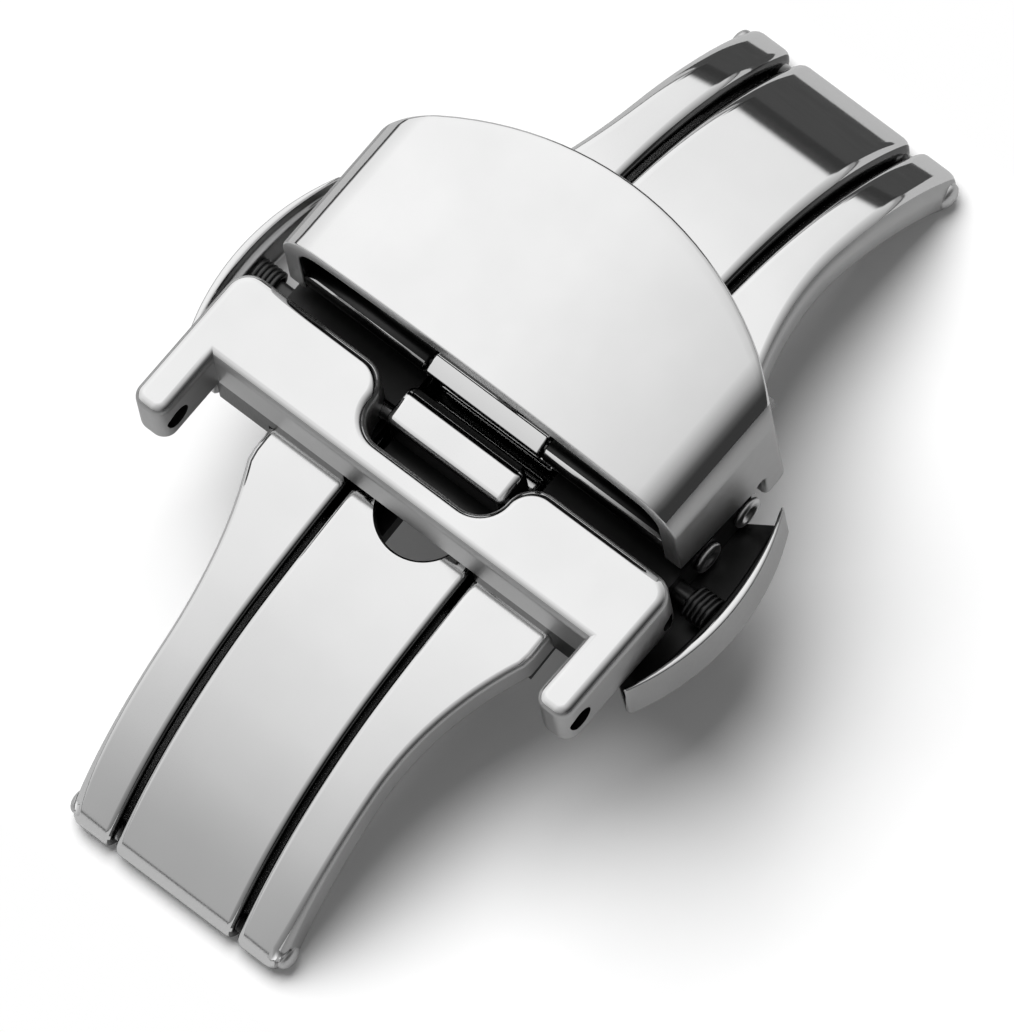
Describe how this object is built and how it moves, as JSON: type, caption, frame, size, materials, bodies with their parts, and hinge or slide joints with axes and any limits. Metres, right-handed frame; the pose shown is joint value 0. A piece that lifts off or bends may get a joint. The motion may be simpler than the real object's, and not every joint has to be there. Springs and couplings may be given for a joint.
{
  "type": "butterfly clasp",
  "caption": "Double-folding watch strap clasp: two arms fold over a curved base, one with a strap bar, one with a D-shaped strap cover, released by side buttons.",
  "frame": {"origin": "on the surface that the two pairs of strip ends rest on, midway between the end hinges", "axes": "+X along the strap from the strap bar to the strap cover, +Y across the strap, +Z away from the wrist"},
  "size_m": [0.0406, 0.0242, 0.0152],
  "materials": {
    "polished_steel": "mirror-polished stainless steel",
    "fine_brushed_steel": "fine satin stainless steel",
    "spring_steel": "drawn spring wire"
  },
  "bodies": {
    "base": {"rail_front": "polished_steel", "rail_rear": "polished_steel", "base_bridge": "fine_brushed_steel", "lock_housing_front": "fine_brushed_steel", "lock_housing_rear": "fine_brushed_steel", "lock_cap_front": "fine_brushed_steel", "lock_cap_rear": "fine_brushed_steel", "lock_side_rivets": "polished_steel", "base_rivets": "fine_brushed_steel", "left_hinge_pin": "polished_steel", "right_hinge_pin": "polished_steel"},
    "button_front": {"button_front": "polished_steel", "slide_front": "fine_brushed_steel", "button_spring_front": "spring_steel"},
    "button_rear": {"button_rear": "polished_steel", "slide_rear": "fine_brushed_steel", "button_spring_rear": "spring_steel"},
    "left_arm": {"left_arm": "polished_steel", "anchor_block": "polished_steel", "anchor_rivets": "fine_brushed_steel", "strap_bar": "polished_steel", "strap_bar_pin": "fine_brushed_steel", "strap_bar_catches": "fine_brushed_steel"},
    "right_arm": {"right_arm": "polished_steel", "cover_carrier": "fine_brushed_steel", "carrier_catches": "fine_brushed_steel", "carrier_rivets": "fine_brushed_steel", "strap_pad": "polished_steel", "tang": "polished_steel", "cover_hinge_pin": "fine_brushed_steel"},
    "cover": {"strap_cover": "polished_steel", "cover_knuckles": "polished_steel"}
  },
  "joints": [
    {"name": "left_arm_hinge", "type": "hinge", "parent": "base", "child": "left_arm", "pos_m": [-0.01955, 0, 0.0008], "axis": [0, -1, 0], "range_deg": [0, 165]},
    {"name": "right_arm_hinge", "type": "hinge", "parent": "base", "child": "right_arm", "pos_m": [0.01955, 0, 0.0008], "axis": [0, 1, 0], "range_deg": [0, 165]},
    {"name": "cover_hinge", "type": "hinge", "parent": "right_arm", "child": "cover", "pos_m": [-0.0001, 0, 0.01075], "axis": [0, -1, 0], "range_deg": [0, 28]},
    {"name": "front_button_press", "type": "slide", "parent": "base", "child": "button_front", "axis": [0, 1, 0], "range_m": [0, 0.00055], "stiffness_N_per_m": 300, "springref_m": -0.0005},
    {"name": "rear_button_press", "type": "slide", "parent": "base", "child": "button_rear", "axis": [0, -1, 0], "range_m": [0, 0.00055], "stiffness_N_per_m": 300, "springref_m": -0.0005}
  ]
}
